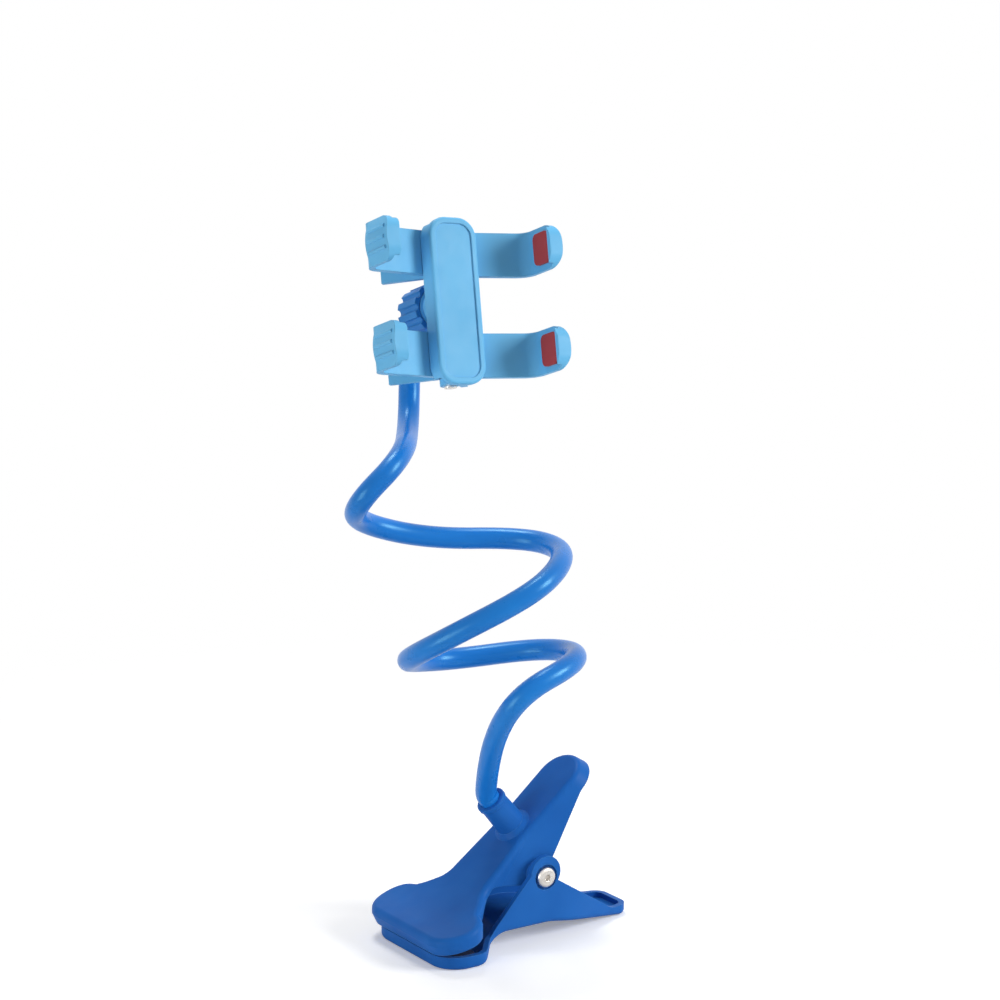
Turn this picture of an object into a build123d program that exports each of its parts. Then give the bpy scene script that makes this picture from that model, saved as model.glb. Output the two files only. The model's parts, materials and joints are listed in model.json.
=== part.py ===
from build123d import *
import os
from math import acos, atan2, cos, degrees, radians, sin, sqrt, tan

# Phone holder: a sprung table clip, a bendable gooseneck and a pair of sprung phone claws on a ball joint.
# Millimetres. X runs along the clip from its bill to its tail, Y across it, Z up from the floor.
# The origin is on the flat underside of the lower bill, at its middle.

# Clip, lower jaw
WALL = 2.4
FOOT_FRONT = -12.5
FOOT_BACK = 7.0
FOOT_EDGE = 2.2
LOWER_BILL_WIDTH = 59.0
LOWER_BILL_HEIGHT = 5.6
LOWER_CORNER = 12.0
LOWER_SHOULDER = 9.0
WAIST_X = 15.5
WAIST_ROUND = 6.0
CHEEK_WIDTH = 39.0
CHEEK_FRONT_HEIGHT = 8.0
CHEEK_ROUND = 3.0
ARCH_RISE = 7.8
ARCH_FRONT = 22.0
ARCH_BACK = 46.0
ARCH_FRONT_ROUND = 10.0
ARCH_BACK_ROUND = 30.0
HEEL_ROUND = 6.0
TAPER_X = 56.0
TAPER_ROUND = 60.0
TAIL_X = 92.0
TAIL_WIDTH = 20.0
TAIL_HEIGHT = 4.8
TAIL_FLAT = 4.0
TAIL_ROUND = 6.0
TAIL_KNEE_X = 82.0
TAIL_KNEE_ROUND = 10.0
TAIL_HEEL_ROUND = 8.0

# Clip, pivot
PIVOT_X = 43.0
PIVOT_Z = 28.0
EAR_RADIUS = 7.2
EAR_LIFT = 1.8
EAR_DROP = 3.0
HUB_RADIUS = 6.8
PIVOT_DIAMETER = 4.0
PIVOT_FIT = 0.05
SIDE_PLAY = 0.4
SCREW_HEAD = 8.6
SCREW_HEAD_HEIGHT = 2.6
SCREW_RECESS = 1.4
SCREW_RECESS_ROOM = 1.1
SCREW_SOCKET = 3.0
SCREW_SOCKET_DEPTH = 1.8
NUT_FLATS = 7.0
NUT_HEIGHT = 3.0

# Clip, upper jaw
JAW_GAP = 0.6
UPPER_FRONT = -15.5
UPPER_BILL_WIDTH = 65.0
UPPER_BILL_BACK = 5.0
UPPER_BILL_HEIGHT = 7.6
UPPER_BILL_SLOPE = 12.0
UPPER_CORNER = 12.5
UPPER_SHOULDER = 9.5
BILL_INSET = 2.0
BILL_FLANK = 4.4
RELIEF_X = 8.0
RELIEF_Z = 13.2
RELIEF_ROUND = 6.0
FLARE_X = 8.0
FLARE_WIDTH = 46.0
FLARE_ROUND = 3.0
SHOULDER_X = 17.0
SHOULDER_WIDTH = 28.6
SHOULDER_ROUND = 8.0
SHOULDER_END_X = 44.0
HANDLE_ANGLE = 40.0
HANDLE_X = 64.0
HANDLE_Z = 67.0
HANDLE_TIP_X = 69.5
HANDLE_WIDTH = 22.0
HANDLE_DRAFT = 19.0
LIP_X = 65.0
LIP_DEPTH = 6.0
LIP_ROUND = 8.0
HOOD_FRONT_X = 20.5
HOOD_FRONT_Z = 26.0
NECK_BLEND = 60.0
TOP_EDGE = 2.4
RIM_ANGLE = 45.0
RIM_SKEW = 8.0
PAD_GAP = 0.3
PAD_CORNER = 2.0
PAD_REACH = 16.0
PAD_DEPTH = 4.6

# Clip spring
CLIP_WIRE = 1.8
CLIP_COIL = 10.5
CLIP_TURNS = 5
TURN_PITCH = 0.92
LEG_SINK = 0.1
LEG_GAP = 0.3
UPPER_LEG_X = 58.0
LOWER_LEG_X = 72.0

# Gooseneck and its socket on the upper jaw
NECK_DIAMETER = 9.0
CORE_DIAMETER = 5.0
CORE_FIT = 0.15
NECK_FIT = 0.1
SOCKET_X = 39.0
SOCKET_LENGTH = 17.0
SOCKET_MOUTH = 11.8
SOCKET_BASE = 13.0
SOCKET_DEPTH = 13.0
SOCKET_RIM = 13.0
SOCKET_RIM_HEIGHT = 2.2
SOCKET_FOOT = 16.4
SOCKET_FOOT_HEIGHT = 1.8
NECK_LEAD = 8.0
ARC_SHARE = 0.47
NECK_ROUTE = [
    (17, -20, 94), (20, -36, 114), (46, -35, 122), (63, -12, 120), (58, 11, 117), (30, 31, 112),
    (6, 26, 115.5), (-10.5, 3, 123.5), (-5, -20, 136.5), (22, -38.5, 154), (42.5, -30, 161.5),
    (57, -10, 164), (52.5, 12, 165), (18, 32.5, 165), (-14, 37, 175), (-26, 14.5, 187.5),
    (-6.5, 10.5, 205.5), (21, 51, 208.5),
]

# Head: its own frame has X to its right, Y to its back and Z up, with the back of what it grips on Y = 0
HEAD_PLACE = (16.0, 2.6, 268.0)
HEAD_TILT = 17.5
HEAD_ROLL = 6.0
CLAW_PITCH = 41.5
PHONE_GAP = 70.5

# Ball joint
BALL_Y = 27.0
BALL_DIAMETER = 13.0
BALL_FIT = 0.1
STEM_DIAMETER = 5.2
STEM_SIDE = 18.0
STEM_DROP = 20.0
FERRULE_START = 13.0
FERRULE_END = 26.0
FERRULE_FLOOR = 4.0
FERRULE_DIAMETER = 12.0
STEM_RUN = 40.0
CUP_DIAMETER = 16.6
CUP_SETBACK = 0.5
CUP_NECK = 14.0
NUT_ROOM = 0.3
LOCK_NUT_DIAMETER = 21.5
LOCK_NUT_FRONT = 18.0
LOCK_NUT_BACK = 32.0
LOCK_NUT_MOUTH = 58.0
LOCK_NUT_FLUTES = 12
FLUTE_DIAMETER = 3.0

# Frame of the head
FRAME_WIDTH = 22.0
FRAME_HEIGHT = 68.0
FRAME_FRONT = 2.0
FRAME_THICKNESS = 3.0
FRAME_CORNER = 8.0
FRAME_EDGE = 1.2
PANEL_BORDER = 2.6
PANEL_DEPTH = 0.6
RAIL_WIDTH = 2.0
LUG_THICKNESS = 2.8
LUG_RADIUS = 4.2

# Claws
PIN_Y = 13.0
PIN_DIAMETER = 3.0
PIN_FIT = 0.05
PIN_HEAD = 5.0
PIN_HEAD_HEIGHT = 1.0
KNUCKLE_RADIUS = 3.8
KNUCKLE_ROOM = 0.5
SPRING_ROOM = 4.6
INNER_KNUCKLE = 3.0
OUTER_KNUCKLE = 3.4
KNUCKLE_PLAY = 0.3
ARM = 3.2
ELBOW_Y = 7.0
ELBOW_ROUND = 5.0
FINGER = 2.0
FINGER_REACH = 15.0
FINGER_CROWN = 2.2
FINGER_ROUND = 6.0
FINGER_LIP = 2.2
LIP_EDGE = 0.7
RIBS = 3
RIB_PITCH = 4.2
RIB_DIAMETER = 1.5
RIB_END = 2.0
PAD = 1.4
PAD_HEIGHT = 13.0
PAD_LENGTH = 11.0
PAD_ROUND = 2.5
TAIL_ANGLE = 45.0
TAIL_LENGTH = 25.0
TAIL_THICKNESS = 2.8
REST_GAP = 0.3
CLAW_WIRE = 0.8
CLAW_COIL = 5.0
CLAW_TURNS = 4
CLAW_LEG = 12.0


def outline(points, radii):
    """A closed flat face through the corners, each rounded by its own radius."""
    return make_face(FilletPolyline(*points, radius=radii, close=True).edges())


def plan(half, radii):
    """A face in the floor plane, from the corners of its +Y half listed front to back."""
    other_half = [(x, -y) for x, y in reversed(half)]
    return outline(half + other_half, radii + radii[::-1])


def across(face, width):
    """A prism of a side profile drawn in x and z, centred on the clip's middle plane."""
    return extrude(Plane.XZ * face, amount=width / 2, both=True)


def rod_y(x, z, radius, y0, y1):
    """A round bar along Y."""
    return Pos(x, (y0 + y1) / 2, z) * Rot(90, 0, 0) * Cylinder(radius, abs(y1 - y0))


def rod(start, end, radius):
    """A round bar between two points."""
    line = Vector(end) - Vector(start)
    return Plane(origin=start, z_dir=line) * Pos(0, 0, line.length / 2) * Cylinder(radius, line.length)


def coil_body(wire, diameter, turns):
    """A close-wound coil on the Z axis: its turns lie side by side, each sunk a little into the next."""
    step = wire * TURN_PITCH
    rows = [Pos((diameter - wire) / 2, (i - (turns - 1) / 2) * step) * Circle(wire / 2) for i in range(turns)]
    section = rows[0]
    for row in rows[1:]:
        section += row
    return revolve(Plane.XZ * section, Axis.Z)


def tangent_start(radius, point, side):
    """Where a line from a point touches a circle on the origin, on the given side of it."""
    x, z = point
    turn = atan2(z, x) + side * acos(radius / sqrt(x * x + z * z))
    return radius * cos(turn), radius * sin(turn)


# Worked-out sizes of the clip
handle_slope = tan(radians(HANDLE_ANGLE))
bill_slope = tan(radians(UPPER_BILL_SLOPE))
cheek_inside = CHEEK_WIDTH / 2 - WALL
hood_half = cheek_inside - SIDE_PLAY
coil_half = (CLIP_TURNS - 1) / 2 * CLIP_WIRE * TURN_PITCH + CLIP_WIRE / 2
upper_base = LOWER_BILL_HEIGHT + JAW_GAP
upper_front_top = upper_base + UPPER_BILL_HEIGHT
HIGH = 100.0
SIDE_END = 80.0
handle_up = Vector(-sin(radians(HANDLE_ANGLE)), 0, cos(radians(HANDLE_ANGLE)))
handle_along = (cos(radians(HANDLE_ANGLE)), 0, sin(radians(HANDLE_ANGLE)))
plate_frame = Plane(origin=(HANDLE_X, 0, HANDLE_Z), x_dir=handle_along, z_dir=-handle_up)


def handle_z(x):
    return HANDLE_Z + (x - HANDLE_X) * handle_slope


def meet_x(drop_bill, drop_handle):
    """Where the line of the bill's top meets the line of the handle's top, each lowered."""
    bill_at_zero = upper_front_top - drop_bill - UPPER_FRONT * bill_slope
    handle_at_zero = handle_z(0) - drop_handle
    return (bill_at_zero - handle_at_zero) / (handle_slope - bill_slope)


def soft_rim(body, facing, start, end, radius):
    """The body with the rim of the faces that look one way rounded, but not the edges that cross it."""
    rim = ShapeList()
    for face in body.faces():
        if face.normal_at().dot(Vector(facing)) > cos(radians(RIM_ANGLE)):
            for edge in face.edges():
                crosswise = abs((edge % 0.5).Y) > cos(radians(RIM_SKEW))
                if not crosswise or not start < edge.center().X < end:
                    rim.append(edge)
    return fillet(rim, radius)


def lower_jaw():
    half = [
        (FOOT_FRONT, LOWER_BILL_WIDTH / 2),
        (FOOT_BACK, LOWER_BILL_WIDTH / 2),
        (WAIST_X, CHEEK_WIDTH / 2),
        (TAPER_X, CHEEK_WIDTH / 2),
        (TAIL_X, TAIL_WIDTH / 2),
    ]
    footprint = plan(half, [LOWER_CORNER, LOWER_SHOULDER, WAIST_ROUND, TAPER_ROUND, TAIL_ROUND])
    arch = [
        (FOOT_BACK, 0),
        (ARCH_FRONT, ARCH_RISE),
        (ARCH_BACK, ARCH_RISE),
        (TAIL_X - TAIL_FLAT, 0),
    ]
    arch_rounds = [HEEL_ROUND, ARCH_FRONT_ROUND, ARCH_BACK_ROUND, TAIL_HEEL_ROUND]
    side = outline(
        [(FOOT_FRONT, 0)] + arch + [
            (TAIL_X, 0),
            (TAIL_X, TAIL_HEIGHT),
            (TAIL_KNEE_X, TAIL_HEIGHT),
            (PIVOT_X + EAR_RADIUS, PIVOT_Z - EAR_DROP),
            (PIVOT_X, PIVOT_Z + EAR_LIFT),
            (PIVOT_X - EAR_RADIUS, PIVOT_Z + EAR_LIFT),
            (WAIST_X, CHEEK_FRONT_HEIGHT),
            (FOOT_BACK, LOWER_BILL_HEIGHT),
            (FOOT_FRONT, LOWER_BILL_HEIGHT),
        ],
        [0] + arch_rounds + [0, 0, TAIL_KNEE_ROUND, 0, 0, 0, CHEEK_ROUND, CHEEK_ROUND, 0],
    )
    side += Pos(PIVOT_X, PIVOT_Z + EAR_LIFT) * Circle(EAR_RADIUS)
    body = extrude(footprint, amount=HIGH) & across(side, 2 * LOWER_BILL_WIDTH)
    body = soft_rim(body, (0, 0, -1), FOOT_FRONT + LOWER_CORNER, TAIL_X - TAIL_ROUND, FOOT_EDGE)
    hollow = outline(
        [(FOOT_FRONT, WALL)] + [(x, z + WALL) for x, z in arch] + [
            (TAIL_X, WALL),
            (TAIL_X, HIGH),
            (FOOT_FRONT, HIGH),
        ],
        [0] + arch_rounds + [0, 0, 0],
    )
    body -= extrude(offset(footprint, amount=-WALL), amount=HIGH) & across(hollow, 2 * LOWER_BILL_WIDTH)
    body -= rod_y(PIVOT_X, PIVOT_Z, PIVOT_DIAMETER / 2 + PIVOT_FIT, -CHEEK_WIDTH, CHEEK_WIDTH)
    recess = SCREW_HEAD / 2 + SCREW_RECESS_ROOM
    ear_face = CHEEK_WIDTH / 2
    body -= rod_y(PIVOT_X, PIVOT_Z, recess, -CHEEK_WIDTH, -ear_face + SCREW_RECESS)
    return body


def pad_face(width, front, corner):
    """Plan of a bill's soft pad, a gap inside the bill's wall."""
    inset = WALL + PAD_GAP
    half = width / 2 - inset
    return plan([(front + inset, half), (front + PAD_REACH, half)], [corner - inset, PAD_CORNER])


def upper_side(drop, base):
    """Side profile under the upper jaw's top line, lowered by a wall and closed by a base line."""
    drop_handle = drop / cos(radians(HANDLE_ANGLE))
    knee = meet_x(drop, drop_handle)
    top = [
        (SIDE_END, handle_z(SIDE_END) - drop_handle),
        (knee, handle_z(knee) - drop_handle),
        (UPPER_FRONT, upper_front_top - drop),
    ]
    return base + top


def hood(inset):
    """Drafted cheeks and round tip of the handle, drawn square to its top plate and in by a wall."""
    half = HANDLE_WIDTH / 2 - inset
    tip = (HANDLE_TIP_X - HANDLE_X) / cos(radians(HANDLE_ANGLE)) - HANDLE_WIDTH / 2
    front = (UPPER_BILL_BACK - HANDLE_X) / cos(radians(HANDLE_ANGLE))
    plate = Pos((front + tip) / 2, 0) * Rectangle(tip - front, 2 * half) + Pos(tip, 0) * Circle(half)
    return extrude(plate_frame * plate, amount=HIGH / 2, taper=-HANDLE_DRAFT)


def bill(inset):
    """The bill, its flanks drawn in toward the lower rim, and the flare to the handle, all in by a wall."""
    half = [
        (UPPER_FRONT + inset, UPPER_BILL_WIDTH / 2 - inset),
        (UPPER_BILL_BACK - inset, UPPER_BILL_WIDTH / 2 - inset),
        (FLARE_X - inset, FLARE_WIDTH / 2 - inset),
        (SHOULDER_X - inset, SHOULDER_WIDTH / 2 - inset),
        (SHOULDER_END_X, HANDLE_WIDTH / 2 - inset),
    ]
    rounds = [UPPER_CORNER - inset, UPPER_SHOULDER - inset, FLARE_ROUND, SHOULDER_ROUND, 0]
    face = plan(half, rounds)
    foot = Pos(0, 0, upper_base) * offset(face, amount=-BILL_INSET)
    flank = extrude(foot, amount=BILL_FLANK, taper=-degrees(atan2(BILL_INSET, BILL_FLANK)))
    return flank + Pos(0, 0, upper_base + BILL_FLANK) * extrude(face, amount=HIGH)


def upper_jaw():
    hub = HUB_RADIUS / 2
    lip_drop = LIP_DEPTH / cos(radians(HANDLE_ANGLE))
    base = [
        (UPPER_FRONT, upper_base),
        (RELIEF_X, RELIEF_Z),
        (HOOD_FRONT_X, HOOD_FRONT_Z),
        (PIVOT_X - hub, PIVOT_Z - hub),
        (PIVOT_X + hub, PIVOT_Z + hub),
        (LIP_X, handle_z(LIP_X) - lip_drop),
        (SIDE_END, handle_z(SIDE_END) - lip_drop),
    ]
    side = outline(upper_side(0, base), [0, RELIEF_ROUND, CHEEK_ROUND, 0, 0, LIP_ROUND, 0, 0, NECK_BLEND, 0])
    hollow = outline(
        upper_side(WALL, [(UPPER_FRONT, -HIGH), (SIDE_END, -HIGH)]), [0, 0, 0, NECK_BLEND, 0]
    )
    form = across(side, 2 * UPPER_BILL_WIDTH)
    cut = UPPER_FRONT + UPPER_CORNER
    body = soft_rim(bill(0) & form, handle_up, cut, SIDE_END, TOP_EDGE)
    body += soft_rim(hood(0) & across(side, 2 * hood_half), handle_up, cut, HANDLE_X, TOP_EDGE)
    inner = bill(WALL) + (hood(WALL) & Box(4 * HIGH, 2 * (hood_half - WALL), 4 * HIGH))
    body -= inner & across(hollow, 2 * UPPER_BILL_WIDTH)
    for side in (1, -1):
        body += rod_y(PIVOT_X, PIVOT_Z, HUB_RADIUS, side * (coil_half + SIDE_PLAY), side * hood_half)
    body -= rod_y(PIVOT_X, PIVOT_Z, PIVOT_DIAMETER / 2 + PIVOT_FIT, -CHEEK_WIDTH, CHEEK_WIDTH)
    return body + socket_frame * socket() - socket_frame * socket_bore()


def socket():
    """The gooseneck's socket: a flared foot, a drafted barrel and a collar at its mouth."""
    reach = WALL / 2 + SOCKET_LENGTH
    body = Pos(0, 0, SOCKET_LENGTH - reach / 2) * Cone(SOCKET_BASE / 2, SOCKET_MOUTH / 2, reach)
    body += Pos(0, 0, SOCKET_FOOT_HEIGHT / 2) * Cone(SOCKET_FOOT / 2, SOCKET_BASE / 2, SOCKET_FOOT_HEIGHT)
    collar = Cylinder(SOCKET_RIM / 2, SOCKET_RIM_HEIGHT)
    collar = fillet(collar.edges().filter_by(GeomType.CIRCLE), SOCKET_RIM_HEIGHT / 4)
    return body + Pos(0, 0, SOCKET_LENGTH - SOCKET_RIM_HEIGHT / 2) * collar


def socket_bore():
    bore = Cylinder(NECK_DIAMETER / 2 + NECK_FIT, SOCKET_DEPTH)
    return Pos(0, 0, SOCKET_LENGTH - SOCKET_DEPTH / 2) * bore


# The socket stands square on the handle's top face
socket_foot = Vector(SOCKET_X, 0, handle_z(SOCKET_X))
socket_axis = handle_up
socket_frame = Plane(origin=socket_foot, x_dir=(0, 1, 0), z_dir=socket_axis)


def lower_jaw_pad():
    face = pad_face(LOWER_BILL_WIDTH, FOOT_FRONT, LOWER_CORNER)
    return Pos(0, 0, WALL) * extrude(face, amount=LOWER_BILL_HEIGHT - WALL)


def upper_jaw_pad():
    width = UPPER_BILL_WIDTH - 2 * BILL_INSET
    face = pad_face(width, UPPER_FRONT + BILL_INSET, UPPER_CORNER - BILL_INSET)
    back = UPPER_FRONT + BILL_INSET + PAD_REACH
    roof = upper_front_top - WALL / cos(radians(UPPER_BILL_SLOPE))
    rise = (back - UPPER_FRONT) * bill_slope
    side = Polyline(
        (UPPER_FRONT, roof - PAD_DEPTH),
        (back, roof - PAD_DEPTH + rise),
        (back, roof + rise),
        (UPPER_FRONT, roof),
        close=True,
    )
    return extrude(face, amount=HIGH) & across(make_face(side), UPPER_BILL_WIDTH)


def pivot_screw():
    seat = SCREW_RECESS - CHEEK_WIDTH / 2
    head = rod_y(PIVOT_X, PIVOT_Z, SCREW_HEAD / 2, seat - SCREW_HEAD_HEIGHT, seat)
    rim = head.edges().filter_by(GeomType.CIRCLE).sort_by(Axis.Y)[0]
    head = fillet(rim, SCREW_HEAD_HEIGHT / 2)
    socket = extrude(Plane.XZ * RegularPolygon(SCREW_SOCKET / 2, 6), amount=SCREW_SOCKET_DEPTH)
    head -= Pos(PIVOT_X, seat - SCREW_HEAD_HEIGHT + SCREW_SOCKET_DEPTH, PIVOT_Z) * socket
    end = CHEEK_WIDTH / 2 + NUT_HEIGHT
    return head + rod_y(PIVOT_X, PIVOT_Z, PIVOT_DIAMETER / 2, seat, end)


def pivot_nut():
    hexagon = RegularPolygon(NUT_FLATS / 2, 6, major_radius=False)
    hexagon -= Circle(PIVOT_DIAMETER / 2 + PIVOT_FIT)
    back = CHEEK_WIDTH / 2 + NUT_HEIGHT
    return Pos(PIVOT_X, back, PIVOT_Z) * extrude(Plane.XZ * hexagon, amount=NUT_HEIGHT)


def clip_spring():
    """Torsion spring on the pivot: one leg under the handle's plate, the other on the lower jaw's floor."""
    coil = Pos(PIVOT_X, 0, PIVOT_Z) * Rot(90, 0, 0) * coil_body(CLIP_WIRE, CLIP_COIL, CLIP_TURNS)
    stand_off = CLIP_WIRE / 2 + LEG_GAP
    upper_z = handle_z(UPPER_LEG_X) - (WALL + stand_off) / cos(radians(HANDLE_ANGLE))
    floor_slope = ARCH_RISE / (TAIL_X - TAIL_FLAT - ARCH_BACK)
    floor_z = (TAIL_X - TAIL_FLAT - LOWER_LEG_X) * floor_slope
    lower_z = floor_z + WALL + stand_off * sqrt(1 + floor_slope**2)
    end_turn = coil_half - CLIP_WIRE / 2
    for x, z, side in ((UPPER_LEG_X, upper_z, 1), (LOWER_LEG_X, lower_z, -1)):
        rx, rz = tangent_start((CLIP_COIL - CLIP_WIRE) / 2 - LEG_SINK, (x - PIVOT_X, z - PIVOT_Z), side)
        start = (PIVOT_X + rx, side * end_turn, PIVOT_Z + rz)
        coil += rod(start, (x, side * end_turn, z), CLIP_WIRE / 2)
    return coil


# Place of the head, and of the ball and its stem in it
head_place = Pos(*HEAD_PLACE) * Rot(-HEAD_TILT, 0, 0) * Rot(0, HEAD_ROLL, 0)
stem_line = Vector(tan(radians(STEM_SIDE)), 1, -tan(radians(STEM_DROP))).normalized()
stem_frame = Plane(origin=(0, BALL_Y, 0), z_dir=stem_line)


def on_stem(distance):
    """A point on the stem's axis, in the part's frame."""
    return (head_place * Pos(*(Vector(0, BALL_Y, 0) + stem_line * distance))).position


def neck_path():
    """The gooseneck's line: straight out of its socket, round the coil and up into the ferrule."""
    start = socket_foot + socket_axis * (SOCKET_LENGTH - SOCKET_DEPTH)
    lead = socket_foot + socket_axis * (SOCKET_LENGTH + NECK_LEAD)
    points = [start, lead] + [Vector(p) for p in NECK_ROUTE]
    points += [on_stem(STEM_RUN), on_stem(FERRULE_START + FERRULE_FLOOR)]
    runs = [b - a for a, b in zip(points, points[1:])]
    free = [run.length for run in runs]
    free[0] = 2 * NECK_LEAD
    free[-1] = 2 * (STEM_RUN - FERRULE_END)
    radii = []
    for i in range(len(runs) - 1):
        turn = radians(runs[i].get_angle(runs[i + 1]))
        radii.append(ARC_SHARE * min(free[i], free[i + 1]) / tan(turn / 2))
    return FilletPolyline(*points, radius=radii)


def along_neck(section):
    path = neck_path()
    return sweep(Plane(origin=path @ 0, z_dir=path % 0) * section, path=path)


def gooseneck_sleeve():
    return along_neck(Circle(NECK_DIAMETER / 2) - Circle(CORE_DIAMETER / 2 + CORE_FIT))


def gooseneck_core():
    return along_neck(Circle(CORE_DIAMETER / 2))


def bar_z(radius, z0, z1):
    """A round bar along the head's Z, on the claws' pin axis."""
    return Pos(0, PIN_Y, (z0 + z1) / 2) * Cylinder(radius, z1 - z0)


def bar_back(radius, y0, y1):
    """A round bar along the head's Y, on the ball joint's axis."""
    return rod_y(0, 0, radius, y0, y1)


# Worked-out sizes of the head
ball_seat = BALL_DIAMETER / 2 + BALL_FIT
finger_inside = PHONE_GAP / 2 + PAD
finger_outside = finger_inside + FINGER
arm_slope = (ELBOW_Y - PIN_Y) / (finger_inside + FINGER / 2)
arm_half = ARM / 2 * sqrt(1 + arm_slope**2)
inner_start = SPRING_ROOM / 2
outer_start = inner_start + INNER_KNUCKLE + KNUCKLE_PLAY
claw_half = outer_start + OUTER_KNUCKLE
lug_start = claw_half + KNUCKLE_PLAY
lug_end = lug_start + LUG_THICKNESS
FAR = 80.0


def arm_y(x):
    """Middle of a claw's arm at a distance from the pin."""
    return PIN_Y + arm_slope * x


def ball_stem():
    stem = Sphere(BALL_DIAMETER / 2)
    stem += Pos(0, 0, FERRULE_START / 2) * Cylinder(STEM_DIAMETER / 2, FERRULE_START)
    length = FERRULE_END - FERRULE_START
    stem += Pos(0, 0, FERRULE_START + length / 2) * Cylinder(FERRULE_DIAMETER / 2, length)
    depth = length - FERRULE_FLOOR
    stem -= Pos(0, 0, FERRULE_END - depth / 2) * Cylinder(NECK_DIAMETER / 2 + NECK_FIT, depth)
    return stem_frame * stem


def lock_nut():
    nut = bar_back(LOCK_NUT_DIAMETER / 2, LOCK_NUT_FRONT, LOCK_NUT_BACK)
    nut -= bar_back(CUP_DIAMETER / 2 + NUT_ROOM, LOCK_NUT_FRONT, BALL_Y)
    nut -= Pos(0, BALL_Y, 0) * Sphere(ball_seat)
    opening = LOCK_NUT_BACK - BALL_Y
    mouth = Cone(0, opening * tan(radians(LOCK_NUT_MOUTH)), opening)
    nut -= Pos(0, BALL_Y + opening / 2, 0) * Rot(-90, 0, 0) * mouth
    for i in range(LOCK_NUT_FLUTES):
        flute = rod_y(LOCK_NUT_DIAMETER / 2, 0, FLUTE_DIAMETER / 2, LOCK_NUT_FRONT, LOCK_NUT_BACK)
        nut -= Rot(0, i * 360 / LOCK_NUT_FLUTES, 0) * flute
    return nut


def head_frame():
    face = RectangleRounded(FRAME_WIDTH, FRAME_HEIGHT, FRAME_CORNER)
    back = FRAME_FRONT + FRAME_THICKNESS
    rail_back = arm_y(FRAME_WIDTH / 2) - arm_half - REST_GAP
    body = Pos(0, rail_back, 0) * extrude(Plane.XZ * face, amount=rail_back - FRAME_FRONT)
    body = fillet(body.faces().sort_by(Axis.Y)[0].edges(), FRAME_EDGE)
    panel = offset(face, amount=-PANEL_BORDER)
    body -= Pos(0, FRAME_FRONT + PANEL_DEPTH, 0) * extrude(Plane.XZ * panel, amount=PANEL_DEPTH)
    pocket = Rectangle(FRAME_WIDTH - 2 * RAIL_WIDTH, FRAME_HEIGHT)
    body -= Pos(0, rail_back, 0) * extrude(Plane.XZ * pocket, amount=rail_back - back)
    lug = Circle(LUG_RADIUS) + Pos(0, (back - PIN_Y) / 2) * Rectangle(2 * LUG_RADIUS, PIN_Y - back)
    for middle in (CLAW_PITCH / 2, -CLAW_PITCH / 2):
        for low in (middle + lug_start, middle - lug_end):
            body += Pos(0, PIN_Y, low) * extrude(lug, amount=LUG_THICKNESS)
        body -= Pos(0, 0, middle) * bar_z(PIN_DIAMETER / 2 + PIN_FIT, -FAR / 4, FAR / 4)
    body += bar_back(CUP_NECK / 2, back - FRAME_THICKNESS / 2, LOCK_NUT_FRONT + FRAME_THICKNESS)
    cup = bar_back(CUP_DIAMETER / 2, LOCK_NUT_FRONT, BALL_Y - CUP_SETBACK)
    body += cup
    body -= Pos(0, BALL_Y, 0) * Sphere(ball_seat)
    return body


def claw_jaw(knuckles):
    """The right jaw of a claw: finger, arm, knuckles and squeeze tail. The left one is its mirror image."""
    profile = outline(
        [
            (0, arm_y(0) + arm_half),
            (finger_outside, arm_y(finger_outside) + arm_half),
            (finger_outside, -FINGER_REACH),
            (finger_inside - FINGER_LIP, -FINGER_REACH),
            (finger_inside - FINGER_LIP, FINGER - FINGER_REACH),
            (finger_inside, FINGER - FINGER_REACH),
            (finger_inside, arm_y(finger_inside) - arm_half),
            (0, arm_y(0) - arm_half),
        ],
        [0, ELBOW_ROUND + FINGER, 0, LIP_EDGE, LIP_EDGE, 0, ELBOW_ROUND, 0],
    )
    tail = Pos(0, TAIL_LENGTH / 2) * Rectangle(TAIL_THICKNESS, TAIL_LENGTH)
    profile += Pos(0, PIN_Y) * Rot(0, 0, -TAIL_ANGLE) * tail
    body = Pos(0, 0, -claw_half) * extrude(profile, amount=2 * claw_half)
    radius = (claw_half**2 + FINGER_CROWN**2) / (2 * FINGER_CROWN)
    crown_axis = finger_outside + FINGER_CROWN - radius
    crown_length = FINGER_REACH + ELBOW_Y - ELBOW_ROUND
    crown = rod_y(crown_axis, 0, radius, -FINGER_REACH, crown_length - FINGER_REACH)
    slab = Pos(finger_outside + FINGER, 0, 0) * Box(2 * FINGER, FAR, 2 * claw_half)
    body += crown & slab
    for i in range(RIBS):
        z = (i - (RIBS - 1) / 2) * RIB_PITCH
        x = crown_axis + sqrt(radius**2 - z**2)
        body += rod_y(x, z, RIB_DIAMETER / 2, RIB_END - FINGER_REACH, crown_length - FINGER_REACH - RIB_END)
    tip = Rectangle(2 * FINGER_REACH, 2 * claw_half)
    corners = tip.vertices().group_by(Axis.X)[0]
    shape = fillet(corners, FINGER_ROUND)
    shape = Plane.YZ * (shape + Pos(FAR / 2, 0) * Rectangle(FAR, 2 * claw_half))
    body &= Pos(-FAR, 0, 0) * extrude(shape, amount=2 * FAR)
    body -= bar_z(KNUCKLE_RADIUS + KNUCKLE_ROOM, -claw_half, claw_half)
    web = profile & (Pos(0, PIN_Y) * Circle(KNUCKLE_RADIUS + 2 * KNUCKLE_ROOM))
    for low, high in knuckles:
        body += Pos(0, 0, low) * extrude(web, amount=high - low)
        body += bar_z(KNUCKLE_RADIUS, low, high)
    return body - bar_z(PIN_DIAMETER / 2 + PIN_FIT, -claw_half, claw_half)


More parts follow.
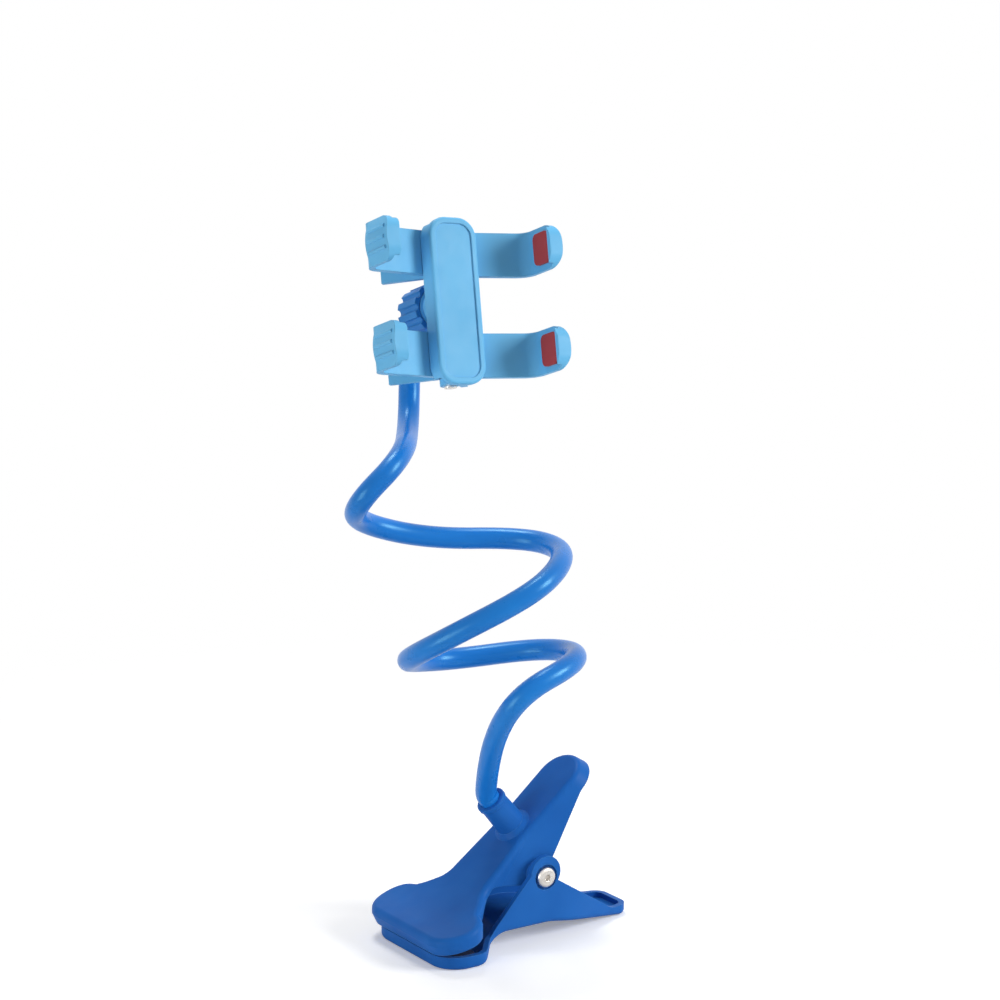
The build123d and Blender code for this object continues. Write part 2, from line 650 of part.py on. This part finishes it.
def finger_pad():
    face = RectangleRounded(PAD_LENGTH, PAD_HEIGHT, PAD_ROUND)
    y = PAD_LENGTH / 2 + FINGER + PAD_GAP - FINGER_REACH
    return Pos(PHONE_GAP / 2, y, 0) * extrude(Plane.YZ * face, amount=PAD)


def claw_pin():
    pin = bar_z(PIN_DIAMETER / 2, -lug_end - PIN_HEAD_HEIGHT, lug_end + PIN_HEAD_HEIGHT)
    pin += bar_z(PIN_HEAD / 2, lug_end, lug_end + PIN_HEAD_HEIGHT)
    return pin + bar_z(PIN_HEAD / 2, -lug_end - PIN_HEAD_HEIGHT, -lug_end)


def claw_spring():
    """Torsion spring on a claw's pin, its legs along the inner sides of the two tails."""
    coil = coil_body(CLAW_WIRE, CLAW_COIL, CLAW_TURNS)
    mean = (CLAW_COIL - CLAW_WIRE) / 2 - LEG_SINK
    end_turn = (CLAW_TURNS - 1) / 2 * CLAW_WIRE * TURN_PITCH
    across_tail, along_tail = sin(radians(TAIL_ANGLE)), cos(radians(TAIL_ANGLE))
    for side in (1, -1):
        start = Vector(-side * mean * along_tail, mean * across_tail, side * end_turn)
        leg = Vector(side * across_tail, along_tail, 0) * CLAW_LEG
        coil += rod(start, start + leg, CLAW_WIRE / 2)
    return Pos(0, PIN_Y, 0) * coil


def head_nodes():
    """All pieces of the head in its own frame, by name."""
    outer_pair = [(outer_start, claw_half), (-claw_half, -outer_start)]
    inner_pair = [(inner_start, inner_start + INNER_KNUCKLE), (-inner_start - INNER_KNUCKLE, -inner_start)]
    right = claw_jaw(outer_pair)
    left = mirror(claw_jaw(inner_pair), about=Plane.YZ)
    pad = finger_pad()
    pieces = {"ball_stem": ball_stem(), "lock_nut": lock_nut(), "head_frame": head_frame()}
    for level, z in (("upper", CLAW_PITCH / 2), ("lower", -CLAW_PITCH / 2)):
        pieces[f"{level}_right_claw"] = Pos(0, 0, z) * right
        pieces[f"{level}_left_claw"] = Pos(0, 0, z) * left
        pieces[f"{level}_right_finger_pad"] = Pos(0, 0, z) * pad
        pieces[f"{level}_left_finger_pad"] = Pos(0, 0, z) * mirror(pad, about=Plane.YZ)
        pieces[f"{level}_claw_pin"] = Pos(0, 0, z) * claw_pin()
        pieces[f"{level}_claw_spring"] = Pos(0, 0, z) * claw_spring()
    return pieces


nodes = {
    "lower_jaw": lower_jaw(),
    "upper_jaw": upper_jaw(),
    "lower_jaw_pad": lower_jaw_pad(),
    "upper_jaw_pad": upper_jaw_pad(),
    "pivot_screw": pivot_screw(),
    "pivot_nut": pivot_nut(),
    "clip_spring": clip_spring(),
    "gooseneck_sleeve": gooseneck_sleeve(),
    "gooseneck_core": gooseneck_core(),
}
for name, shape in head_nodes().items():
    nodes[name] = head_place * shape

os.makedirs("parts", exist_ok=True)
for name, shape in nodes.items():
    export_step(shape, f"parts/{name}.step")
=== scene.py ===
import json
from math import acos, atan2, ceil, cos, pi, radians, sin

import bpy
from mathutils import Matrix, Vector

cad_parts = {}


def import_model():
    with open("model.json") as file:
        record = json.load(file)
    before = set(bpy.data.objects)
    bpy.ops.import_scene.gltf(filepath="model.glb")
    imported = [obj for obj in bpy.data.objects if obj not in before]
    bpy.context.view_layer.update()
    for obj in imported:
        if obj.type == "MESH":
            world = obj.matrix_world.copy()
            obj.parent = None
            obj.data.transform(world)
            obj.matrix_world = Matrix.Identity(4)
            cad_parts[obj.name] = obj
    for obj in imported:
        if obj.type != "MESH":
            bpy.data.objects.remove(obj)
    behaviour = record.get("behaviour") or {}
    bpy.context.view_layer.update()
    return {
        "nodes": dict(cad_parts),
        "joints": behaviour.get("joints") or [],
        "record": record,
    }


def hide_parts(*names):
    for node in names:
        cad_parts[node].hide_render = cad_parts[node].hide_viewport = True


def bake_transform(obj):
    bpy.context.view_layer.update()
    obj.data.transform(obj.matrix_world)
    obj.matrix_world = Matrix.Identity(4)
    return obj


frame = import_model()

joints = {j["name"]: j for j in frame["joints"]}
nodes = frame["nodes"]
MM = 0.001

# Camera, at the photograph's place
CAMERA_PLACE = Vector((-568.5, -905.3, 396.7)) * MM
CAMERA_TARGET = Vector((29.0, -6.0, 186.4)) * MM
CAMERA_LENS = 98.0
SENSOR = 36.0

# Gooseneck, in millimetres: the solid's route, with a shorter lead out of the socket
NECK_DIAMETER = 9.0
CORE_DIAMETER = 5.0
HANDLE_ANGLE = radians(40)
SOCKET_DEPTH = 13.0
NECK_LEAD = 4.5
NECK_ROUTE = [
    (17, -20, 94), (20, -36, 114), (46, -35, 122), (63, -12, 120), (58, 11, 117), (30, 31, 112),
    (6, 26, 115.5), (-10.5, 3, 123.5), (-5, -20, 136.5), (22, -38.5, 154), (42.5, -30, 161.5),
    (57, -10, 164), (52.5, 12, 165), (18, 32.5, 165), (-14, 37, 175), (-26, 14.5, 187.5),
    (-6.5, 10.5, 205.5), (21, 51, 208.5),
]
FERRULE_DEPTH = 9.0
STEM_LEAD = 14.0
SLEEVE_SIDES = 40
SPLINE_ORDER = 3
SPLINE_STEPS = 24
SHARP_ANGLE = radians(50)

# Springs, in millimetres. Measured from the coil's axis: the ends of the clip spring's legs, and the waist,
# where a claw spring's legs run out between the roots of the two tails
CLIP_WIRE = 1.8
CLIP_COIL = 10.5
CLIP_COIL_LENGTH = 6.62
CLIP_TURNS = 3
UPPER_LEG = (15.0, 29.27)
LOWER_LEG = (29.0, -21.41)
CLAW_WIRE = 0.8
CLAW_COIL = 5.0
CLAW_COIL_LENGTH = 2.21
CLAW_TURNS = 2
CLAW_LEG = 12.0
WAIST_START = 3.7
WAIST_END = 4.6
TAIL_ANGLE = radians(45)
WIRE_SIDES = 16
STEPS_PER_TURN = 40

# Materials' detail: lengths in metres, scales of noise per metre. Paler edges, partly wear and partly a
# painted highlight, start and are full at two cosines of the angle that an edge's normal is turned by
EDGE_RADIUS = 0.0005
EDGE_WEAR_AND_HIGHLIGHT = 0.5
WEAR_AND_HIGHLIGHT_START = 1.0
WEAR_AND_HIGHLIGHT_FULL = 0.8
DRIFT_SCALE = 45.0
GLOSS_SCALE = 160.0
STAIN_SCALE = 400.0
NOISE_LOW = 0.3
NOISE_HIGH = 0.7
SOFT_DETAIL = 2.0
SCRATCH_DETAIL = 3.0
GRAIN_DETAIL = 4.0
BUMP_STRENGTH = 0.4
SCRATCH_DEPTH = 0.00002

# Light and floor, in metres and watts: each lamp has its place, size and power
LAMP_TARGET = Vector((0.03, 0.0, 0.14))
LAMPS = (
    ("key_lamp", (0.87, -0.98, 0.70), 0.60, 14.5),
    ("fill_lamp", (-1.10, -0.15, 0.14), 0.60, 5.0),
    ("top_lamp", (0.10, 0.35, 1.15), 0.35, 5.0),
)
WORLD_LIGHT = 0.28
FLOOR_SIZE = 3.0
FLOOR_CLEAR = 0.16
FLOOR_FADE = 0.55
FLOOR_CENTRE = (0.035, 0.0)
FLOOR_TONE = 0.95
FLOOR_GLOW = 0.28


def point_of(name):
    return Vector(joints[name]["pos_m"])


def axis_of(name):
    return Vector(joints[name]["axis"])


# Mesh helpers

def mesh_piece(name, verts, faces, material, smooth=True):
    mesh = bpy.data.meshes.new(name)
    mesh.from_pydata(verts, [], faces)
    mesh.polygons.foreach_set("use_smooth", [smooth] * len(mesh.polygons))
    mesh.materials.append(material)
    mesh.update()
    mesh.set_sharp_from_angle(angle=SHARP_ANGLE)
    piece = bpy.data.objects.new(name, mesh)
    bpy.context.scene.collection.objects.link(piece)
    return piece


def smooth_line(points):
    """Points along the smooth spline that follows a route, ends included."""
    curve = bpy.data.curves.new("route", "CURVE")
    curve.dimensions = "3D"
    spline = curve.splines.new("NURBS")
    spline.points.add(len(points) - 1)
    for place, point in zip(spline.points, points):
        place.co = (*point, 1)
    spline.order_u = SPLINE_ORDER
    spline.use_endpoint_u = True
    spline.resolution_u = SPLINE_STEPS
    holder = bpy.data.objects.new("route", curve)
    mesh = bpy.data.meshes.new_from_object(holder)
    line = [v.co.copy() for v in mesh.vertices]
    bpy.data.objects.remove(holder)
    bpy.data.curves.remove(curve)
    bpy.data.meshes.remove(mesh)
    return line


def rings_along(line, radius, sides):
    """Rings of points round a line, each turned from the one before as little as it can be."""
    rings = []
    side = (line[1] - line[0]).orthogonal()
    last = len(line) - 1
    for i, place in enumerate(line):
        along = (line[min(i + 1, last)] - line[max(i - 1, 0)]).normalized()
        side = (side - along * side.dot(along)).normalized()
        other = along.cross(side)
        turns = [2 * pi * k / sides for k in range(sides)]
        rings.append([place + (side * cos(turn) + other * sin(turn)) * radius for turn in turns])
    return rings


def tube(name, rings, material):
    """A closed tube through rings of points."""
    sides = len(rings[0])
    last = len(rings) - 1
    verts = [point for ring in rings for point in ring]
    faces = []
    for i in range(last):
        for k in range(sides):
            a, b = i * sides + k, i * sides + (k + 1) % sides
            faces.append((a, b, b + sides, a + sides))
    faces.append(tuple(reversed(range(sides))))
    faces.append(tuple(last * sides + k for k in range(sides)))
    return mesh_piece(name, verts, faces, material)


# Materials

def new_material(name):
    material = bpy.data.materials.new(name)
    material.use_nodes = True
    return material, material.node_tree, material.node_tree.nodes["Principled BSDF"]


def noise(tree, scale, detail=SOFT_DETAIL):
    place = tree.nodes.new("ShaderNodeTexCoord")
    texture = tree.nodes.new("ShaderNodeTexNoise")
    texture.inputs["Scale"].default_value = scale
    texture.inputs["Detail"].default_value = detail
    tree.links.new(place.outputs["Object"], texture.inputs["Vector"])
    return texture.outputs["Fac"]


def spread(tree, value, low, high):
    """A noise value stretched to a range."""
    node = tree.nodes.new("ShaderNodeMapRange")
    node.inputs["From Min"].default_value = NOISE_LOW
    node.inputs["From Max"].default_value = NOISE_HIGH
    node.inputs["To Min"].default_value = low
    node.inputs["To Max"].default_value = high
    tree.links.new(value, node.inputs["Value"])
    return node.outputs["Result"]


def mottled(tree, dark, pale, scale):
    """A colour that drifts between two tones."""
    mix = tree.nodes.new("ShaderNodeMix")
    mix.data_type = "RGBA"
    mix.inputs["A"].default_value = (*dark, 1)
    mix.inputs["B"].default_value = (*pale, 1)
    tree.links.new(spread(tree, noise(tree, scale), 0.0, 1.0), mix.inputs["Factor"])
    return mix.outputs["Result"]


def edge_round(tree):
    """Normals that turn softly over the edges, as on a moulded edge."""
    bevel = tree.nodes.new("ShaderNodeBevel")
    bevel.inputs["Radius"].default_value = EDGE_RADIUS
    return bevel.outputs["Normal"]


def edge_wear_and_highlight(tree, colour, rounded, tone):
    """The colour, turned towards a paler tone over an edge: partly rubbed wear, partly a painted highlight
    on the rounded edge.
    """
    flat = tree.nodes.new("ShaderNodeNewGeometry")
    same = tree.nodes.new("ShaderNodeVectorMath")
    same.operation = "DOT_PRODUCT"
    tree.links.new(rounded, same.inputs[0])
    tree.links.new(flat.outputs["Normal"], same.inputs[1])
    worn_and_lit = tree.nodes.new("ShaderNodeMapRange")
    worn_and_lit.inputs["From Min"].default_value = WEAR_AND_HIGHLIGHT_START
    worn_and_lit.inputs["From Max"].default_value = WEAR_AND_HIGHLIGHT_FULL
    worn_and_lit.inputs["To Max"].default_value = EDGE_WEAR_AND_HIGHLIGHT
    tree.links.new(same.outputs["Value"], worn_and_lit.inputs["Value"])
    mix = tree.nodes.new("ShaderNodeMix")
    mix.data_type = "RGBA"
    mix.inputs["B"].default_value = (*tone, 1)
    tree.links.new(worn_and_lit.outputs["Result"], mix.inputs["Factor"])
    tree.links.new(colour, mix.inputs["A"])
    return mix.outputs["Result"]


def bumped(tree, shader, value, depth, rounded=None):
    """Gives a shader a grain, over the normals of rounded edges where it has them."""
    bump = tree.nodes.new("ShaderNodeBump")
    bump.inputs["Strength"].default_value = BUMP_STRENGTH
    bump.inputs["Distance"].default_value = depth
    tree.links.new(value, bump.inputs["Height"])
    if rounded:
        tree.links.new(rounded, bump.inputs["Normal"])
    tree.links.new(bump.outputs["Normal"], shader.inputs["Normal"])


def plastic(name, dark, pale, edge, rough, grain, depth, gloss):
    """Moulded plastic: a slow drift of tone, a fine spark-eroded grain, uneven gloss and paler edges,
    partly rubbed wear and partly a painted highlight.
    """
    material, tree, shader = new_material(name)
    shader.inputs["Specular IOR Level"].default_value = gloss
    rounded = edge_round(tree)
    colour = edge_wear_and_highlight(tree, mottled(tree, dark, pale, DRIFT_SCALE), rounded, edge)
    tree.links.new(colour, shader.inputs["Base Color"])
    tree.links.new(spread(tree, noise(tree, GLOSS_SCALE), *rough), shader.inputs["Roughness"])
    bumped(tree, shader, noise(tree, grain, GRAIN_DETAIL), depth, rounded)
    return material


def soft_skin(name, dark, pale, rough, grain, depth, gloss, tint):
    """Smooth drawn skin: a slow drift of tone, a faint grain and uneven gloss of its own tint."""
    material, tree, shader = new_material(name)
    shader.inputs["Specular IOR Level"].default_value = gloss
    shader.inputs["Specular Tint"].default_value = (*tint, 1)
    tree.links.new(mottled(tree, dark, pale, DRIFT_SCALE), shader.inputs["Base Color"])
    tree.links.new(spread(tree, noise(tree, GLOSS_SCALE), *rough), shader.inputs["Roughness"])
    bumped(tree, shader, noise(tree, grain), depth)
    return material


def metal(name, dark, pale, rough, grain):
    """Plated or drawn metal with fine scratches and spots."""
    material, tree, shader = new_material(name)
    shader.inputs["Metallic"].default_value = 1.0
    tree.links.new(mottled(tree, dark, pale, STAIN_SCALE), shader.inputs["Base Color"])
    tree.links.new(spread(tree, noise(tree, grain), *rough), shader.inputs["Roughness"])
    bumped(tree, shader, noise(tree, grain, SCRATCH_DETAIL), SCRATCH_DEPTH, edge_round(tree))
    return material


# Each finish's edge colour is a paler tone for its edges: partly rubbed wear, partly a painted highlight.
clip_plastic = plastic(
    "clip_plastic", dark=(0.012, 0.114, 0.430), pale=(0.017, 0.140, 0.490), edge=(0.090, 0.310, 0.720),
    rough=(0.34, 0.44), grain=2200.0, depth=0.00005, gloss=0.07,
)
neck_skin = soft_skin(
    "neck_skin", dark=(0.008, 0.168, 0.600), pale=(0.011, 0.198, 0.660),
    rough=(0.26, 0.34), grain=600.0, depth=0.000002, gloss=0.50, tint=(0.40, 0.95, 1.0),
)
claw_plastic = plastic(
    "claw_plastic", dark=(0.145, 0.505, 0.840), pale=(0.170, 0.545, 0.880), edge=(0.280, 0.650, 0.920),
    rough=(0.38, 0.50), grain=2200.0, depth=0.00004, gloss=0.15,
)
joint_plastic = plastic(
    "joint_plastic", dark=(0.030, 0.210, 0.560), pale=(0.038, 0.240, 0.610), edge=(0.110, 0.380, 0.740),
    rough=(0.38, 0.50), grain=2200.0, depth=0.00004, gloss=0.15,
)
clip_rubber = plastic(
    "clip_rubber", dark=(0.008, 0.016, 0.052), pale=(0.013, 0.024, 0.068), edge=(0.030, 0.045, 0.110),
    rough=(0.65, 0.82), grain=1400.0, depth=0.00010, gloss=0.25,
)
finger_rubber = plastic(
    "finger_rubber", dark=(0.390, 0.050, 0.054), pale=(0.460, 0.064, 0.068), edge=(0.540, 0.120, 0.120),
    rough=(0.58, 0.74), grain=1400.0, depth=0.00010, gloss=0.20,
)
plated = metal("plated_steel", (0.68, 0.64, 0.59), (0.80, 0.77, 0.73), (0.24, 0.38), 900.0)
wire = metal("spring_wire", (0.42, 0.42, 0.43), (0.55, 0.55, 0.56), (0.26, 0.42), 1200.0)
core_metal = metal("core_wire", (0.60, 0.60, 0.61), (0.70, 0.70, 0.71), (0.35, 0.50), 900.0)

FINISH = {
    "clip_plastic": clip_plastic,
    "clip_pad": clip_rubber,
    "screw_steel": plated,
    "spring_steel": wire,
    "gooseneck_skin": neck_skin,
    "core_wire": core_metal,
    "joint_plastic": joint_plastic,
    "claw_plastic": claw_plastic,
    "finger_pad": finger_rubber,
}
for subpart in frame["record"]["subparts"]:
    node = nodes[subpart["node"]]
    node.data.materials.clear()
    node.data.materials.append(FINISH[subpart["material_slot"]])


# Gooseneck: a smooth sleeve and its core, each in two lengths that meet in the middle of the route

def gooseneck():
    mouth = point_of("neck_base_bend")
    socket_axis = Vector((-sin(HANDLE_ANGLE), 0, cos(HANDLE_ANGLE)))
    ferrule = point_of("neck_top_bend")
    stem_axis = (ferrule - point_of("ball_tilt")).normalized()
    route = [mouth - socket_axis * SOCKET_DEPTH * MM, mouth, mouth + socket_axis * NECK_LEAD * MM]
    route += [Vector(p) * MM for p in NECK_ROUTE]
    route += [ferrule + stem_axis * STEM_LEAD * MM, ferrule, ferrule - stem_axis * FERRULE_DEPTH * MM]
    line = smooth_line(route)
    half = len(line) // 2
    for label, node, diameter, slot, material in (
        ("sleeve", "gooseneck_sleeve", NECK_DIAMETER, "gooseneck_skin", neck_skin),
        ("core", "gooseneck_core", CORE_DIAMETER, "core_wire", core_metal),
    ):
        rings = rings_along(line, diameter / 2 * MM, SLEEVE_SIDES)
        lower = tube(f"{label}_lower_length", rings[:half + 1], material)
        upper = tube(f"{label}_upper_length", rings[half:], material)
        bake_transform(lower)
        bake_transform(upper)
        for piece in (lower, upper):
            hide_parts(node)


gooseneck()


# Springs: wires wound on their pins, whose legs run out to the pieces that they press on. A claw spring is
# two halves that meet in the middle of its coil

def along_axis(origin, x_axis, y_axis):
    """The place of a coil whose axis is square to the two directions."""
    turned = Matrix((x_axis, y_axis, x_axis.cross(y_axis))).transposed()
    return Matrix.Translation(origin) @ turned.to_4x4()


def leaving_angle(radius, point, side):
    """Where on a coil a straight leg to the point leaves it, on the given side."""
    leg = Vector(point)
    return atan2(leg.y, leg.x) + side * acos(radius / leg.length)


def wound(place, radius, start, end, low, high):
    """Points along a coil from one angle and height to another."""
    steps = ceil(abs(end - start) / (2 * pi) * STEPS_PER_TURN)
    points = []
    for i in range(steps + 1):
        share = i / steps
        turn = start + (end - start) * share
        height = low + (high - low) * share
        points.append(place @ Vector((radius * cos(turn), radius * sin(turn), height)))
    return points


def clip_spring():
    place = along_axis(point_of("clip_open"), Vector((1, 0, 0)), Vector((0, 0, 1)))
    radius = (CLIP_COIL - CLIP_WIRE) / 2 * MM
    half = CLIP_COIL_LENGTH / 2 * MM
    lower = Vector(LOWER_LEG) * MM
    upper = Vector(UPPER_LEG) * MM
    start = leaving_angle(radius, lower, -1)
    end = leaving_angle(radius, upper, 1)
    while start - end < 2 * pi * CLIP_TURNS:
        end -= 2 * pi
    line = [place @ Vector((*lower, half))]
    line += wound(place, radius, start, end, half, -half)
    line.append(place @ Vector((*upper, -half)))
    spring = tube("clip_spring_wire", rings_along(line, CLIP_WIRE / 2 * MM, WIRE_SIDES), wire)
    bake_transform(spring)
    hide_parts("clip_spring")


def claw_spring(level):
    place = along_axis(point_of(f"{level}_right_open"), -axis_of("ball_tilt"), axis_of("ball_turn"))
    radius = (CLAW_COIL - CLAW_WIRE) / 2 * MM
    half = CLAW_COIL_LENGTH / 2 * MM
    waist_start = (0, WAIST_START * MM)
    start = leaving_angle(radius, waist_start, -1)
    end = leaving_angle(radius, waist_start, 1) - 2 * pi * (CLAW_TURNS + 1)
    middle = (start + end) / 2
    for side, turn, sign in (("left", start, -1), ("right", end, 1)):
        along_tail = Vector((sign * sin(TAIL_ANGLE), cos(TAIL_ANGLE), 0))
        off_tail = Vector((-sign * cos(TAIL_ANGLE), sin(TAIL_ANGLE), 0))
        tip = along_tail * CLAW_LEG * MM + off_tail * radius
        leg = [tip, Vector((0, WAIST_END * MM, 0)), Vector((0, WAIST_START * MM, 0))]
        leg = [place @ Vector((*point.xy, sign * half)) for point in leg]
        line = leg + wound(place, radius, turn, middle, sign * half, 0)
        rings = rings_along(line, CLAW_WIRE / 2 * MM, WIRE_SIDES)
        spring = tube(f"{level}_{side}_spring_wire", rings, wire)
        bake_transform(spring)
        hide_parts(f"{level}_claw_spring")


clip_spring()
claw_spring("upper")
claw_spring("lower")


# Camera, light and floor

def studio():
    scene = bpy.context.scene
    camera = bpy.data.objects.new("camera", bpy.data.cameras.new("camera"))
    camera.data.lens = CAMERA_LENS
    camera.data.sensor_width = SENSOR
    camera.location = CAMERA_PLACE
    camera.rotation_mode = "QUATERNION"
    camera.rotation_quaternion = (CAMERA_TARGET - CAMERA_PLACE).to_track_quat("-Z", "Y")
    scene.collection.objects.link(camera)
    scene.camera = camera
    scene.view_settings.view_transform = "Standard"
    for name, place, size, power in LAMPS:
        lamp = bpy.data.lights.new(name, "AREA")
        lamp.energy = power
        lamp.size = size
        holder = bpy.data.objects.new(name, lamp)
        holder.location = place
        holder.rotation_mode = "QUATERNION"
        holder.rotation_quaternion = (LAMP_TARGET - Vector(place)).to_track_quat("-Z", "Y")
        scene.collection.objects.link(holder)


def world():
    """White where the camera or a reflection sees it, a soft grey light otherwise."""
    made = bpy.data.worlds.new("studio")
    bpy.context.scene.world = made
    made.use_nodes = True
    tree = made.node_tree
    path = tree.nodes.new("ShaderNodeLightPath")
    seen = tree.nodes.new("ShaderNodeMath")
    seen.operation = "MAXIMUM"
    tree.links.new(path.outputs["Is Camera Ray"], seen.inputs[0])
    tree.links.new(path.outputs["Is Glossy Ray"], seen.inputs[1])
    also = tree.nodes.new("ShaderNodeMath")
    also.operation = "MAXIMUM"
    tree.links.new(seen.outputs[0], also.inputs[0])
    tree.links.new(path.outputs["Is Transmission Ray"], also.inputs[1])
    level = tree.nodes.new("ShaderNodeMapRange")
    level.inputs["To Min"].default_value = WORLD_LIGHT
    level.inputs["To Max"].default_value = 1.0
    tree.links.new(also.outputs[0], level.inputs["Value"])
    background = tree.nodes["Background"]
    background.inputs["Color"].default_value = (1, 1, 1, 1)
    tree.links.new(level.outputs["Result"], background.inputs["Strength"])


def floor():
    """A pale floor that keeps the shadow near the object and fades into the background."""
    material = bpy.data.materials.new("floor")
    material.use_nodes = True
    tree = material.node_tree
    tree.nodes.clear()
    place = tree.nodes.new("ShaderNodeTexCoord")
    off = tree.nodes.new("ShaderNodeVectorMath")
    off.operation = "LENGTH"
    tree.links.new(place.outputs["Object"], off.inputs[0])
    fade = tree.nodes.new("ShaderNodeMapRange")
    fade.interpolation_type = "SMOOTHSTEP"
    fade.inputs["From Min"].default_value = FLOOR_CLEAR
    fade.inputs["From Max"].default_value = FLOOR_FADE
    tree.links.new(off.outputs["Value"], fade.inputs["Value"])
    matt = tree.nodes.new("ShaderNodeBsdfDiffuse")
    matt.inputs["Color"].default_value = (FLOOR_TONE, FLOOR_TONE, FLOOR_TONE, 1)
    glow = tree.nodes.new("ShaderNodeEmission")
    glow.inputs["Color"].default_value = (1, 1, 1, 1)
    path = tree.nodes.new("ShaderNodeLightPath")
    lift = tree.nodes.new("ShaderNodeMath")
    lift.operation = "MULTIPLY"
    lift.inputs[1].default_value = FLOOR_GLOW
    tree.links.new(path.outputs["Is Camera Ray"], lift.inputs[0])
    tree.links.new(lift.outputs[0], glow.inputs["Strength"])
    pale = tree.nodes.new("ShaderNodeAddShader")
    tree.links.new(matt.outputs["BSDF"], pale.inputs[0])
    tree.links.new(glow.outputs["Emission"], pale.inputs[1])
    clear = tree.nodes.new("ShaderNodeBsdfTransparent")
    mix = tree.nodes.new("ShaderNodeMixShader")
    tree.links.new(fade.outputs["Result"], mix.inputs["Fac"])
    tree.links.new(pale.outputs["Shader"], mix.inputs[1])
    tree.links.new(clear.outputs["BSDF"], mix.inputs[2])
    out = tree.nodes.new("ShaderNodeOutputMaterial")
    tree.links.new(mix.outputs["Shader"], out.inputs["Surface"])
    half = FLOOR_SIZE / 2
    corners = [(-half, -half, 0), (half, -half, 0), (half, half, 0), (-half, half, 0)]
    plane = mesh_piece("floor", corners, [(0, 1, 2, 3)], material, smooth=False)
    plane.location = (*FLOOR_CENTRE, 0)


studio()
world()
floor()
